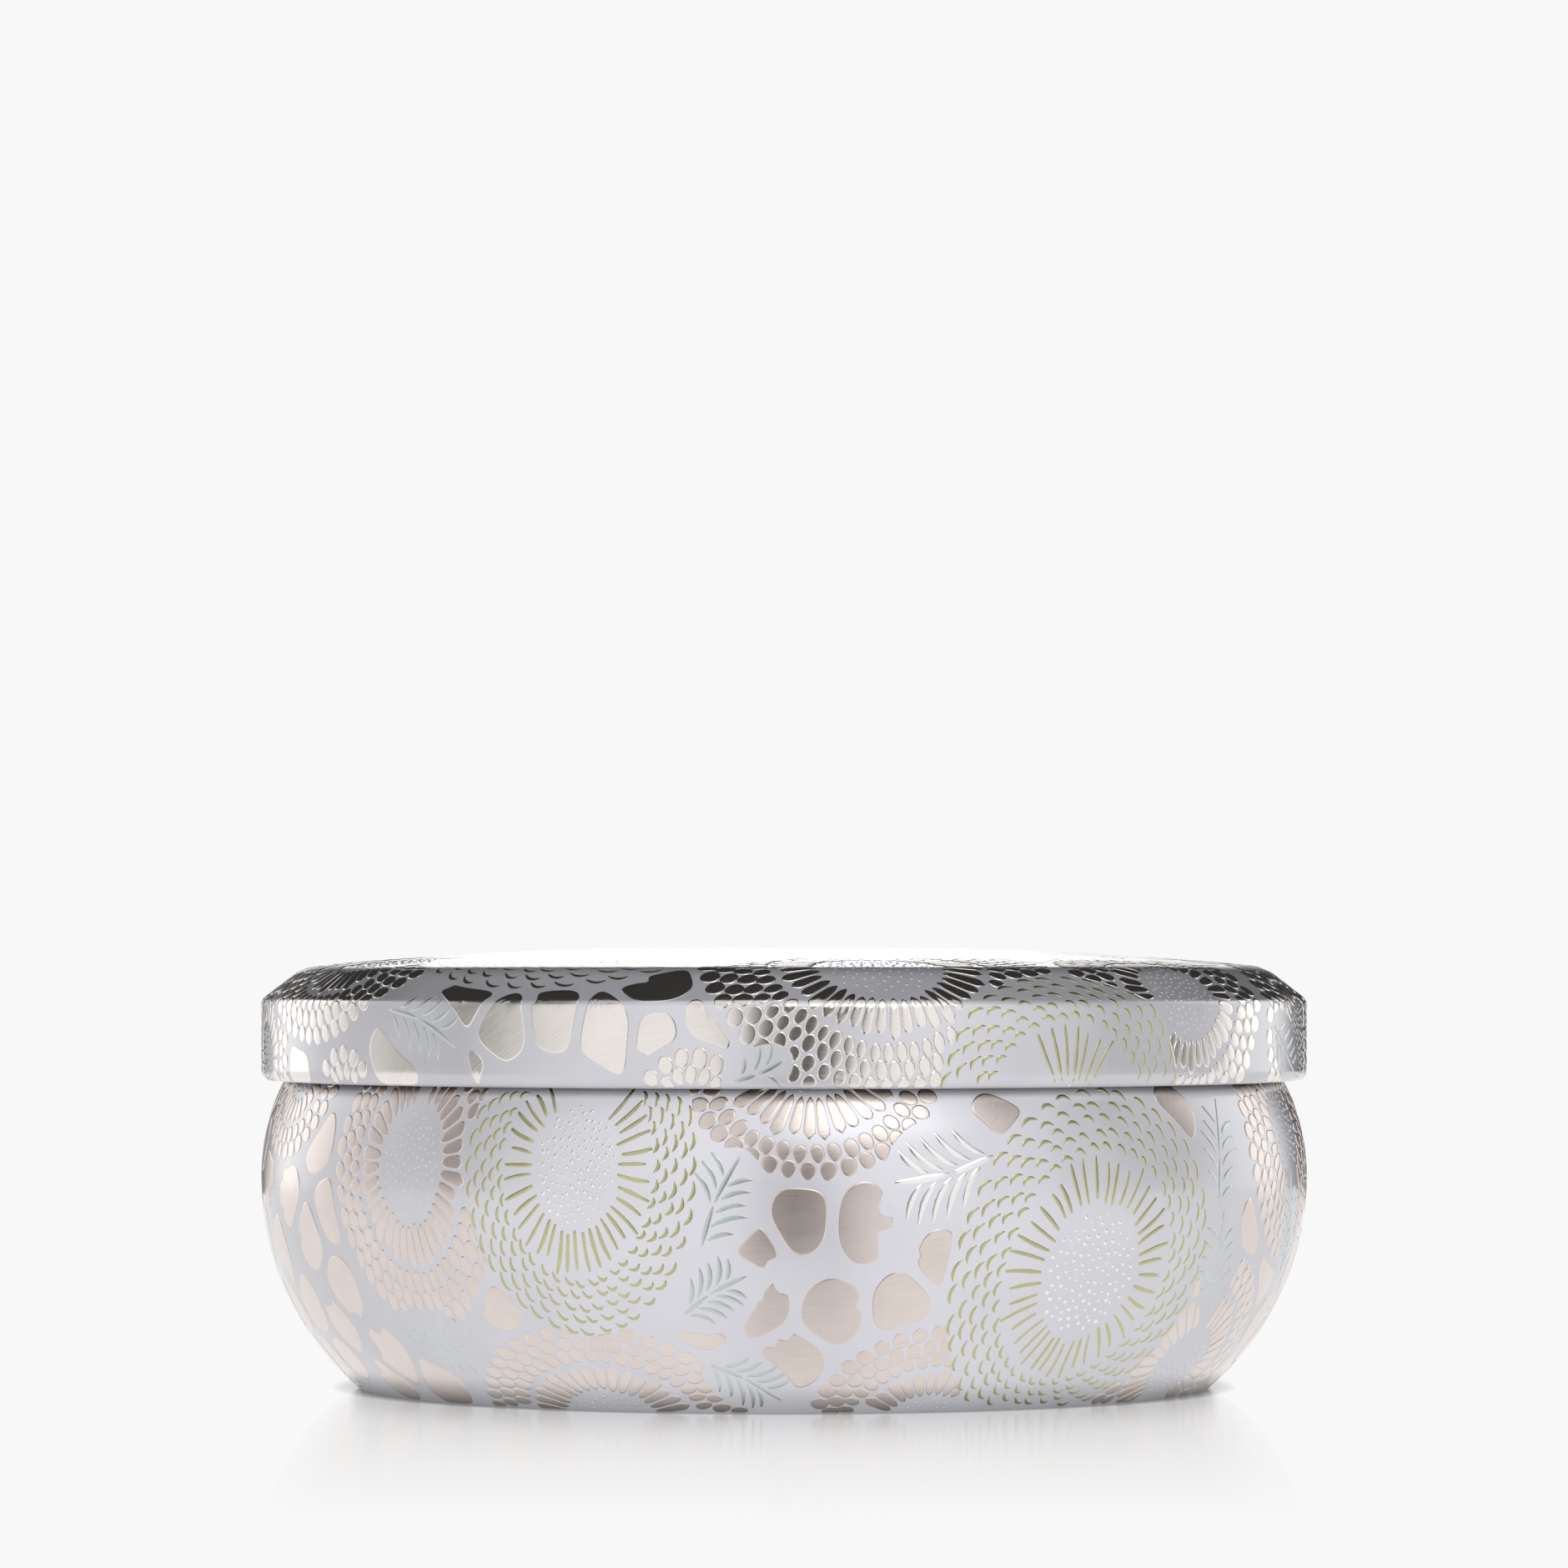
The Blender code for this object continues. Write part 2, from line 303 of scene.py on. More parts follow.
class Press:
    """Lays flat drawings on a skin. Areas drawn first lie on top, and hide what comes after them."""

    def __init__(self, skin, chart, keep, relief, seed, period=None):
        self.skin = skin
        self.period = period      # how far round the drawing repeats, if it does
        self.chart = chart        # flat points to azimuth and distance along
        self.keep = keep          # flat points moved back inside the printed part
        self.relief = relief      # the height of the embossing at a flat point
        self.depth = 1.0          # of the motif that is being drawn, against that height
        self.above = []
        self.sheets = {}
        self.rng = random.Random(seed)

    def sheet(self, colour):
        return self.sheets.setdefault(colour, Sheet())

    def rise(self, point):
        """How far a shape stands up, and how far its edge goes under the skin."""
        height = self.relief(point) * self.depth
        return height, max(LEAST_SINK, SINK * height)

    def lay(self, points, lift):
        azimuth, along = self.chart(points)
        return self.skin.place(azimuth, along, lift)

    def hidden(self, point, margin=0.0):
        point = np.array(point, float)
        return any(area.share(point, margin) < 1 for area in self.above)

    def patch(self, colour, outline, crown=0.5, margin=EDGE_TRIM):
        """An embossed shape with an outline that its middle can see all of."""
        outline = np.asarray(outline, float)
        middle = outline.mean(axis=0)
        kept = self.keep(middle[None])[0]
        if self.hidden(middle) or np.hypot(*(kept - middle)) > SAME:
            return
        before = abs(area_of(outline))
        for area in self.above:
            outline = area.push_out(outline, margin)
        outline = around(self.keep(outline))
        if area_of(outline) < max(LEAST_AREA, LEAST_SHARE * before):
            return
        middle = outline.mean(axis=0)
        reach = float(np.hypot(*(outline - middle).T).mean())
        shares = [0, EMBOSS_EDGE / reach, 2.6 * EMBOSS_EDGE / reach]
        rings = max(1, round(reach / PRINT_STEP))
        shares += [s for s in np.linspace(0, 1, rings + 1)[1:-1] if s > shares[-1] + 0.3 / rings]
        rows = []
        height, sink = self.rise(middle)
        for number, share in enumerate(shares):
            dome = crown * height * (1 - (1 - share) ** 2)
            lift = -sink if number == 0 else height + dome
            rows.append(self.lay(outline + (middle - outline) * share, lift))
        self.sheet(colour).add(np.array(rows), closed=True)

    def stroke(self, colour, path, width, taper=0.35):
        """An embossed brush stroke along a path, thinner towards its ends."""
        path = np.asarray(path, float)
        if self.hidden(path[0]) or self.hidden(path[-1]) or self.hidden(path.mean(axis=0)):
            return
        if np.abs(self.keep(path) - path).max() > SAME:
            return
        count = len(path)
        ways = np.gradient(path, axis=0)
        ways /= np.linalg.norm(ways, axis=1)[:, None]
        left = np.column_stack((-ways[:, 1], ways[:, 0]))
        swell = 1 - (1 - taper) * np.abs(np.linspace(-1, 1, count)) ** 2.5
        wobble = 1 + 0.1 * np.array([self.rng.uniform(-1, 1) for _ in range(count)])
        half = (width / 2 * swell * wobble)[:, None]
        ends = path[[0, -1]] + ways[[0, -1]] * half[[0, -1]] * np.array([[-0.8], [0.8]])
        path = np.vstack((ends[:1], path, ends[1:]))
        left = np.vstack((left[:1], left, left[-1:]))
        half = np.vstack((half[:1] * 0.45, half, half[-1:] * 0.45))
        end_lift = np.full(count + 2, 1.0)
        end_lift[[0, -1]] = 0
        columns = []
        height, sink = self.rise(path.mean(axis=0))
        for side, share in ((1, 0), (0.55, 0.85), (0, 1), (-0.55, 0.85), (-1, 0)):
            lift = (height + sink) * share * end_lift - sink
            columns.append(self.lay(path + left * half * side, lift))
        self.sheet(colour).add(np.stack(columns, axis=1), closed=False)

    def dot(self, colour, middle, radius):
        if self.hidden(middle, margin=0.3) or np.abs(self.keep(np.array([middle])) - middle).max() > SAME:
            return
        angles = np.linspace(0, 2 * math.pi, 8, endpoint=False)
        ring = np.column_stack((np.cos(angles), np.sin(angles))) * radius
        height, sink = self.rise(middle)
        rows = [self.lay(middle + ring, -sink), self.lay(middle + ring * 0.6, height)]
        self.sheet(colour).add(np.array(rows), closed=True)

    def cover(self, area):
        """From here on, what is drawn goes under this area."""
        self.above.append(area)


SCALE_PITCH = 1.85           # between the rows of scales round a petal flower
SCALE_WIDTH = 1.95           # between the scales of one row
PETAL_PITCH = 1.42           # between its petals, half way along them
PETAL_DISC = 0.34            # how far out its middle reaches, as a share of the flower
BRUSH_RING_END = 0.64        # the same for the ring of strokes of a brush flower
BRUSH_STROKE = 0.50          # width of those strokes
CRESCENT_ROWS = 5
CRESCENT_STROKE = 0.46
WINDOW_REACH = 7.0           # of a window's outline from its seed, at most
WINDOW_STRETCH = 1.3         # windows stand closer together across than up by this much


def dotted_disc(press, area, colour, share, count, radius):
    """Small dots spread evenly over the middle of a flower, as seeds are."""
    golden = math.pi * (3 - math.sqrt(5))
    for number in range(1, count + 1):
        out = share * math.sqrt(number / count) * press.rng.uniform(0.97, 1.03)
        angle = number * golden + press.rng.uniform(-0.05, 0.05)
        press.dot(colour, area.polar(out, angle)[0], radius * press.rng.uniform(0.75, 1.2))


def brush_flower(press, area, strokes=40, disc=0.34, dots="silver_and_painted_highlight"):
    """A chrysanthemum drawn with a brush: a dotted middle, a ring of strokes, and rows of crescents."""
    rng = press.rng
    dotted_disc(press, area, dots, disc, 110, 0.24)
    ring_start = disc + 0.05
    for number in range(strokes):
        angle = 2 * math.pi * (number + rng.uniform(-0.12, 0.12)) / strokes
        start = ring_start + rng.uniform(-0.015, 0.03)
        end = BRUSH_RING_END + rng.uniform(-0.06, 0.02)
        shares = np.linspace(start, end, 6)
        bow = angle + 0.02 * rng.uniform(-1, 1) * np.sin(np.linspace(0, math.pi, 6))
        press.stroke("gold", area.polar(shares, bow), BRUSH_STROKE * rng.uniform(0.85, 1.15), taper=0.7)
    pitch = (0.985 - BRUSH_RING_END - 0.04) / (CRESCENT_ROWS - 1)
    for row in range(CRESCENT_ROWS):
        share = BRUSH_RING_END + 0.04 + pitch * row
        for number in range(strokes):
            angle = 2 * math.pi * (number + 0.5 * (row % 2) + rng.uniform(-0.12, 0.12)) / strokes
            half = 2 * math.pi / strokes * 0.36 * rng.uniform(0.85, 1.1)
            spread = np.linspace(-1, 1, 7)
            bulge = share + 0.022 * (1 - spread ** 2) + 0.016 * spread + rng.uniform(-0.006, 0.006)
            press.stroke("gold", area.polar(bulge, angle + half * spread), CRESCENT_STROKE)
    press.cover(area)


def petal_flower(press, area, rows):
    """A flower of long petals and rows of scales, in bare metal between thin ink lines."""
    rng = press.rng
    size = float(area.size.mean())
    dotted_disc(press, area, "ground_dots", PETAL_DISC * 0.92, 90, 0.2)
    petal_end = 1 - rows * SCALE_PITCH / size
    petals = round(2 * math.pi * (PETAL_DISC + petal_end) / 2 * size / PETAL_PITCH)
    step = 2 * math.pi / petals
    along = np.concatenate((np.linspace(0, 1, 9), np.linspace(1, 0, 9)[1:-1]))
    side = np.concatenate((np.ones(9), -np.ones(7)))
    for number in range(petals):
        angle = step * (number + rng.uniform(-0.06, 0.06))
        start = PETAL_DISC + 0.01 + rng.uniform(-0.01, 0.02)
        end = petal_end - 0.25 / size + rng.uniform(-0.05, 0.01)
        width = 0.44 * step * (1 - np.abs(2 * along - 1) ** 7) * rng.uniform(0.94, 1.04)
        press.patch("metal", area.polar(start + (end - start) * along, angle + side * width))
    turns = np.linspace(0, 2 * math.pi, 16, endpoint=False)
    count = round(2 * math.pi * (petal_end + 1) / 2 * size / SCALE_WIDTH)
    for row in range(rows):
        share = petal_end + (row + 0.5) * SCALE_PITCH / size
        out = 0.63 * SCALE_PITCH / size
        across = 2 * math.pi / count * 0.46
        for number in range(count):
            angle = 2 * math.pi * (number + 0.5 * (row % 2) + rng.uniform(-0.05, 0.05)) / count
            lean = rng.uniform(-0.15, 0.15)
            grow = rng.uniform(0.9, 1.05)
            shares = share + out * grow * np.sin(turns) + rng.uniform(-0.004, 0.004)
            broad = np.cos(turns) * (1 - 0.12 * np.sin(turns)) + lean * np.sin(turns)
            press.patch("metal", area.polar(shares, angle + across * grow * broad))
    press.cover(area)


def leaf(press, base, direction, length, width, colour="mint", veins=5, stroke=0.6):
    """A leaf drawn with a brush: a midrib in two strokes and curved veins on both sides."""
    rng = press.rng
    base = np.array(base, float)
    way = np.array((math.cos(math.radians(direction)), math.sin(math.radians(direction))))
    side = np.array((-way[1], way[0]))
    bow = rng.choice((-1, 1)) * 0.05 * length

    def on_rib(share):
        share = np.asarray(share, float)[..., None]
        return base + way * share * length + side * bow * np.sin(share * math.pi)

    press.stroke(colour, on_rib(np.linspace(0, 0.42, 7)), stroke)
    press.stroke(colour, on_rib(np.linspace(0.47, 1, 8)), stroke)
    for number in range(veins):
        share = 0.12 + 0.74 * number / veins
        reach = width / 2 * math.sin(math.pi * (0.22 + 0.7 * share)) * rng.uniform(0.85, 1.1)
        for hand in (-1, 1):
            start = on_rib(share + 0.04 * hand) + side * hand * 0.55
            steps = np.linspace(0, 1, 6)[:, None]
            forward = way * reach * (0.95 * steps - 0.25 * steps ** 2)
            outward = side * hand * reach * (0.55 * steps + 0.35 * steps ** 2)
            press.stroke(colour, start + forward + outward, stroke)
    middle = base + way * length / 2
    press.cover(Area(middle, (length / 2 + 0.5, width / 2 + 0.1), direction, press.period))


def clear_reach(press, seed, ways, gaps, line):
    """How far it is clear each way from a seed: to a motif, the print's edge, or half way to a neighbour."""
    steps = np.linspace(0.2, WINDOW_REACH, 30)
    points = (seed + ways * steps[:, None, None]).reshape(-1, 2)
    blocked = np.abs(press.keep(points) - points).max(axis=1) > SAME
    for area in press.above:
        blocked |= area.share(points, line) < 1
    blocked = blocked.reshape(len(steps), len(ways))
    reach = np.where(blocked.any(axis=0), steps[blocked.argmax(axis=0)], WINDOW_REACH)
    for gap in gaps:
        length = math.hypot(*gap)
        towards = np.maximum(ways @ gap / length, 0.05)
        reach = np.minimum(reach, (length - line) / 2 / towards)
    return reach


def bubbles(press, seeds, line, half_across):
    """Large rounded windows of bare metal that fill what is left, with the ink as a network between them."""
    rng = press.rng
    angles = np.linspace(0, 2 * math.pi, 60, endpoint=False)
    ways = np.column_stack((np.cos(angles), np.sin(angles)))
    for number, seed in enumerate(seeds):
        gaps = np.delete(seeds, number, axis=0) - seed
        gaps[:, 0] = short_way(gaps[:, 0], press.period)
        reach = clear_reach(press, seed, ways, gaps[np.hypot(*gaps.T) < 16], line)
        half = half_across * np.array((rng.uniform(0.85, 1.15), rng.uniform(1.1, 1.4)))
        reach = np.minimum(reach, 1 / np.linalg.norm(ways / half, axis=1))
        outline = softened(around(seed + ways * reach[:, None]), 9)
        bites = rng.choice((0, 1, 1, 2))
        for _ in range(bites if number else 0):
            outline = bitten(rng, outline)
        press.patch("metal", outline, crown=0.3, margin=0.5)


def bitten(rng, outline):
    """An outline with a round bite out of its edge."""
    inward = outline.mean(axis=0) - outline
    reach = np.hypot(*inward.T)[:, None]
    middle = outline[rng.randrange(len(outline))]
    radius = rng.uniform(0.5, 1.7) * min(1.0, float(reach.min()) / 2.4)
    away = np.hypot(*(outline - middle).T)
    depth = np.sqrt(np.maximum(radius ** 2 - away ** 2, 0))[:, None]
    return outline + inward / np.maximum(reach, SAME) * depth


def scattered(press, draw, spacing, tries, first=()):
    """Places for windows: drawn one by one, kept if clear of the motifs and of each other."""
    kept = [np.array(place) for place in first]
    for _ in range(tries):
        point = draw(press.rng)
        if press.hidden(point, margin=1.7):
            continue
        clear = spacing * press.rng.uniform(0.8, 1.15)
        gaps = [(short_way(point[0] - x, press.period) * WINDOW_STRETCH, point[1] - y) for x, y in kept]
        if all(math.hypot(*gap) >= clear for gap in gaps):
            kept.append(point)
    return np.array(kept)


# ---- the bowl's drawing: x is round its widest part, and y is minus the distance down from its neck ----

BODY_PRINT_TOP = 35.6
GROUND_RISE = 1.2            # how far the ink under the drawing goes on above it
body_top = -body_skin.along_at(BODY_PRINT_TOP)
body_foot = -body_skin.along[-1] + 0.15


def body_chart(points):
    return points[:, 0] / TIN_RADIUS, -points[:, 1]


def body_keep(points):
    kept = points.copy()
    kept[:, 1] = np.clip(points[:, 1], body_foot, body_top)
    return kept


def body_relief(_):
    return EMBOSS_HEIGHT


def on_body(azimuth, height):
    """A flat point from an azimuth in degrees and a height, straight on past the foot and the neck."""
    neck = body_skin.profile[0, 1]
    inside = min(max(height, 0), neck)
    beyond = max(0, height - neck) + min(0, height)
    return (math.radians(azimuth) * TIN_RADIUS, -float(body_skin.along_at(inside)) + beyond)


def body_area(azimuth, height, across, up, tilt=0):
    return Area(on_body(azimuth, height), (across, up), tilt, GIRTH)


# Motifs on the bowl. Flowers are (azimuth, height, half width, half height, tilt), petal flowers with their
# rows of scales last, and leaves are (azimuth, height, direction, length, width).
BODY_BRUSH_FLOWERS = (
    (-22, 27, 13.4, 18.8, 0), (34.5, 15, 17, 20.5, -14), (104, 25, 14, 18, 8), (150, 14, 16, 18.5, -10),
    (205, 27, 14.5, 18, 5), (256, 16, 15, 19, 12),
)
BODY_LEAVES = (
    (-8.5, 18.5, 66, 10.5, 6.8), (-10.8, 11, 32, 8.5, 6), (-8.5, 5.5, -32, 10, 6.5), (-49, 8.5, -12, 13, 6.5),
    (56, 10, 100, 12, 6), (53, 22, 80, 12, 6), (74, 14, 100, 12, 6), (122, 10, 80, 12, 7),
    (127, 30, -60, 12, 7), (170, 24, 80, 12, 7), (176, 6, 20, 12, 7), (228, 8, 110, 12, 7),
    (232, 26, -70, 12, 7), (250, 30, 70, 12, 7),
)
BODY_PETAL_FLOWERS = (
    (-43, 27, 13, 19, 0, 3), (-22.5, -1.5, 19, 14, 0, 3), (18.5, -2.5, 16.5, 15, 0, 3), (3, 39, 15, 14, 0, 2),
    (56, 4, 14, 14, 20, 2), (72, 30, 13, 15, 0, 3), (124, 33, 14, 12, 0, 2), (124, -1, 15, 13, 0, 3),
    (172, 35, 14, 12, 0, 2), (178, -1, 15, 13, 0, 3), (232, 34, 14, 12, 0, 2), (230, -2, 14, 13, 0, 3),
    (290, 37, 12, 11, 0, 2),
)
# Windows that have their own places, (azimuth, height). The others are scattered.
BODY_WINDOWS = ((1.6, 21.5), (8.3, 21), (-2.8, 12), (5.2, 11.2), (12.6, 12), (17.2, 17))


def print_body():
    press = Press(body_skin, body_chart, body_keep, body_relief, seed=11, period=GIRTH)
    for flower in BODY_BRUSH_FLOWERS:
        brush_flower(press, body_area(*flower))
    # Painted highlight: this leaf is drawn in a whiter copy of the mint strokes' metal, for the bright light
    # that it mirrors here.
    leaf(press, on_body(22, 28), 194, 11.5, 10.5, "silver_and_painted_highlight", stroke=0.8)
    for azimuth, height, direction, length, width in BODY_LEAVES:
        leaf(press, on_body(azimuth, height), direction, length, width)
    for flower in BODY_PETAL_FLOWERS:
        petal_flower(press, body_area(*flower[:5]), rows=flower[5])

    def draw(rng):
        return np.array((rng.uniform(0, GIRTH), rng.uniform(body_foot - 2, body_top + 2)))

    first = [on_body(azimuth, height) for azimuth, height in BODY_WINDOWS]
    bubbles(press, scattered(press, draw, 7.4, 4000, first), line=1.1, half_across=3.7)
    return press.sheets


# ---- the lid's drawing: a flat disc seen from above, drawn down over the shoulder and the skirt ----

LID_PRINT_EDGE = float(lid_skin.along[-1]) - 0.2


def lid_chart(points):
    return np.arctan2(points[:, 0], -points[:, 1]), np.hypot(*points.T)


def lid_keep(points):
    reach = np.hypot(*points.T)[:, None]
    return points * np.minimum(1, LID_PRINT_EDGE / np.maximum(reach, SAME))


def on_lid(azimuth, out):
    """A flat point from an azimuth in degrees and a distance from the middle of the lid."""
    angle = math.radians(azimuth)
    return (out * math.sin(angle), -out * math.cos(angle))


def lid_area(azimuth, out, across, along):
    return Area(on_lid(azimuth, out), (across, along), azimuth)


def lid_relief(point):
    """The lid is embossed round its shoulder and skirt, and hardly at all on its flat top."""
    share = (math.hypot(*point) - LID_EMBOSS_START) / LID_EMBOSS_GROWTH
    return FLAT_HEIGHT + EMBOSS_HEIGHT * min(1, max(0, share))


# Motifs on the lid. Brush flowers are (azimuth, distance out, size, share of the disc, share of the full
# depth), petal flowers are (azimuth, distance out, size), and leaves are (azimuth, distance out, direction).
LID_BRUSH_FLOWERS = (
    (31, 75, 19, 0.26, 1.0), (-29, 38, 21.5, 0.34, 0.15), (118, 62, 18, 0.34, 1.0), (176, 34, 21, 0.34, 1.0),
    (-118, 63, 18, 0.3, 1.0), (82, 25, 17, 0.34, 1.0), (-158, 66, 15, 0.3, 1.0),
)
LID_LEAVES = (
    (-46, 62, -62), (66, 64, 40), (86, 56, 70), (-88, 60, 160), (146, 60, 150), (-142, 58, 20),
    (60, 44, 130), (-76, 36, 200), (140, 38, 90), (-140, 24, 250),
)
LID_PETAL_FLOWERS = (
    (11, 53.5, 19.5), (48, 60, 15), (-9.5, 74, 8), (-54, 73.5, 7.5), (-61, 50, 16), (-78, 68, 12),
    (76, 66, 14), (96, 46, 13), (150, 62, 15), (-100, 38, 16), (-140, 46, 15), (-172, 60, 14),
    (128, 22, 14), (44, 30, 12),
)


def print_lid():
    press = Press(lid_skin, lid_chart, lid_keep, lid_relief, seed=5)
    for azimuth, out, size, disc, depth in LID_BRUSH_FLOWERS:
        press.depth = depth
        area = lid_area(azimuth, out, size, size * 0.95)
        brush_flower(press, area, strokes=42, disc=disc, dots="metal_dots")
    press.depth = 1.0
    leaf(press, on_lid(-5, 69.5), 18, 6.5, 4.2, veins=3)
    for azimuth, out, direction in LID_LEAVES:
        leaf(press, on_lid(azimuth, out), direction, 11.5, 6.5)
    for azimuth, out, size in LID_PETAL_FLOWERS:
        petal_flower(press, lid_area(azimuth, out, size, size), rows=max(2, round(0.18 * size)))
    press.depth = WINDOW_DEPTH

    def draw(rng):
        out = (LID_PRINT_EDGE + 1) * math.sqrt(rng.random())
        return np.array(on_lid(rng.uniform(-180, 180), out))

    bubbles(press, scattered(press, draw, 7.0, 4000), line=1.05, half_across=4.6)
    return press.sheets


# ==== Materials ====

class Look:
    """A node material built up round one Principled shader, in the piece's own metres."""

    def __init__(self, name, **settings):
        self.material = bpy.data.materials.new(name)
        self.material.use_nodes = True
        self.tree = self.material.node_tree
        self.shader = self.tree.nodes["Principled BSDF"]
        for socket, value in settings.items():
            self.set(self.shader, socket.replace("_", " "), value)

    def set(self, node, socket, value):
        target = node.inputs[socket]
        if isinstance(value, bpy.types.NodeSocket):
            self.tree.links.new(value, target)
        else:
            target.default_value = value

    def node(self, kind, settings=None, **sockets):
        made = self.tree.nodes.new(kind)
        for name, value in (settings or {}).items():
            setattr(made, name, value)
        for socket, value in sockets.items():
            self.set(made, socket.replace("_", " "), value)
        return made

    def maths(self, operation, *values):
        made = self.node("ShaderNodeMath", {"operation": operation})
        for number, value in enumerate(values):
            self.set(made, number, value)
        return made.outputs[0]

    def times(self, first, second):
        return self.maths("MULTIPLY", first, second)

    def plus(self, first, second):
        return self.maths("ADD", first, second)

    def less(self, first, second):
        return self.maths("SUBTRACT", first, second)

    def reach(self, x, y):
        return self.maths("SQRT", self.plus(self.times(x, x), self.times(y, y)))

    def bearing(self, side, y):
        """An angle in degrees: 0 towards the front, -Y, and 90 towards the side that is given."""
        return self.maths("DEGREES", self.maths("ARCTAN2", side, self.times(y, -1.0)))

    def place(self):
        """x, y and z in metres."""
        coordinates = self.node("ShaderNodeTexCoord").outputs["Object"]
        return self.node("ShaderNodeSeparateXYZ", Vector=coordinates).outputs

    def flat_sheet(self, across_scale, along_scale, lid):
        """Where a point was on the flat sheet before it was drawn, with x along the rolling."""
        x, y, z = self.place()
        reach = self.reach(x, y)
        drop = self.less(LID_TOP * MM, z) if lid else z
        stretch = self.plus(1.0, self.maths("DIVIDE", drop, self.maths("MAXIMUM", reach, 5 * MM)))
        along = self.times(self.times(x, stretch), along_scale)
        across = self.times(self.times(y, stretch), across_scale)
        return self.node("ShaderNodeCombineXYZ", X=along, Y=across).outputs[0]

    def scaled(self, *scales):
        """The piece's own coordinates, with one scale for all three or one for each."""
        scales = scales if len(scales) == 3 else scales * 3
        parts = [self.times(value, scale) for value, scale in zip(self.place(), scales)]
        return self.node("ShaderNodeCombineXYZ", X=parts[0], Y=parts[1], Z=parts[2]).outputs[0]

    def noise(self, vector, detail=2.0, roughness=0.5):
        made = self.node("ShaderNodeTexNoise", Vector=vector, Scale=1.0, Detail=detail, Roughness=roughness)
        return made.outputs[0]

    def between(self, value, low, high, from_low=0.3, from_high=0.7):
        """A value that runs from low to high as the pattern does."""
        made = self.node("ShaderNodeMapRange", Value=value)
        ends = {"From Min": from_low, "From Max": from_high, "To Min": low, "To Max": high}
        for socket, number in ends.items():
            made.inputs[socket].default_value = number
        return made.outputs[0]

    def spot(self, value, middle, inner, outer, level=1.0):
        """A level near a middle value, which fades to nothing from an inner to an outer distance."""
        away = self.maths("ABSOLUTE", self.less(value, middle))
        return self.between(away, level, 0.0, inner, outer)

    def colour(self, factor, first, second):
        mix = self.node("ShaderNodeMix", {"data_type": "RGBA"}, Factor=factor)
        mix.inputs["A"].default_value = (*first, 1)
        mix.inputs["B"].default_value = (*second, 1)
        self.set(self.shader, "Base Color", mix.outputs["Result"])

    def follow(self, pattern, first, second, smooth, rough, low=0.3, high=0.7):
        """Colour and roughness that both run with a pattern."""
        self.colour(self.between(pattern, 0.0, 1.0, low, high), first, second)
        self.set(self.shader, "Roughness", self.between(pattern, smooth, rough, low, high))

    def bump(self, height, distance):
        made = self.node("ShaderNodeBump", Height=height, Distance=distance * MM, Strength=1.0)
        self.set(self.shader, "Normal", made.outputs[0])


def metal_look(name, first, second, roughness, lid=False, coat=0.6, spread=0.05):
    """Lacquered tinplate: fine straight grain from the rolling, and a slow mottle in colour and sheen."""
    look = Look(name, Metallic=1.0, Coat_Weight=coat, Coat_Roughness=0.14, Coat_IOR=1.5)
    grain_noise = look.noise(look.flat_sheet(5200, 160, lid), detail=3.0, roughness=0.65)
    mottle = look.noise(look.scaled(160), detail=3.0)
    mixed = look.plus(look.times(grain_noise, 0.5), look.times(mottle, 0.5))
    look.colour(look.between(mixed, 0.0, 1.0, 0.35, 0.65), first, second)
    look.set(look.shader, "Roughness", look.between(mixed, roughness - spread, roughness + spread))
    look.bump(grain_noise, 0.010)
    return look.material


def ink_look(name, first, second, roughness, metallic, coat):
    """Printed ink on tinplate: satin, with a faint orange-peel in the varnish over it."""
    look = Look(name, Metallic=metallic, Coat_Weight=coat, Coat_Roughness=0.10, Coat_IOR=1.55)
    cloud = look.noise(look.scaled(110), detail=3.0)
    look.follow(cloud, first, second, roughness - 0.04, roughness + 0.04)
    look.bump(look.noise(look.scaled(2600)), 0.006)
    return look.material


def wax_look():
    """Soy wax: creamy, slightly clear, with faint frosting and shallow unevenness on top."""
    look = Look("wax", Subsurface_Weight=0.35, Subsurface_Scale=0.004, Subsurface_Radius=(1.0, 0.75, 0.45))
    frost = look.noise(look.scaled(90), detail=5.0, roughness=0.6)
    look.follow(frost, (0.90, 0.84, 0.72), (0.95, 0.91, 0.82), 0.34, 0.52)
    look.bump(look.noise(look.scaled(320), detail=3.0), 0.06)
    return look.material


def cotton_look():
    """Fine fibres along the wick."""
    look = Look("wick_cotton", Sheen_Weight=0.3, Sheen_Roughness=0.5)
    fibre = look.noise(look.scaled(5200, 5200, 1300), detail=3.0)
    look.follow(fibre, (0.74, 0.69, 0.58), (0.90, 0.87, 0.79), 0.8, 0.95)
    look.bump(fibre, 0.05)
    return look.material


def foam_look():
    """Small cells of adhesive foam."""
    look = Look("sticker_foam")
    cells = look.node("ShaderNodeTexVoronoi", Vector=look.scaled(3500)).outputs["Distance"]
    look.follow(cells, (0.80, 0.80, 0.77), (0.88, 0.88, 0.86), 0.75, 0.9, 0.1, 0.7)
    look.bump(cells, 0.04)
    return look.material


def paper_look():
    """Plain paper with fibres that run mostly one way."""
    look = Look("label_paper")
    fibre = look.noise(look.scaled(2200, 500, 2200), detail=5.0, roughness=0.7)
    look.follow(fibre, (0.86, 0.85, 0.83), (0.92, 0.915, 0.90), 0.66, 0.8)
    look.bump(fibre, 0.015)
    return look.material


# ==== Making the pieces ====

def mesh_piece(name, points, faces, look, body, stands_for):
    """A piece from points in millimetres, which moves with a body and stands for a node of the CAD."""
    mesh = bpy.data.meshes.new(name)
    mesh.from_pydata((np.asarray(points) * MM).tolist(), [], faces)
    mesh.shade_smooth()
    mesh.materials.append(look)
    piece = bpy.data.objects.new(name, mesh)
    bpy.context.scene.collection.objects.link(piece)
    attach(piece, body)
    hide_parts(stands_for)
    return piece


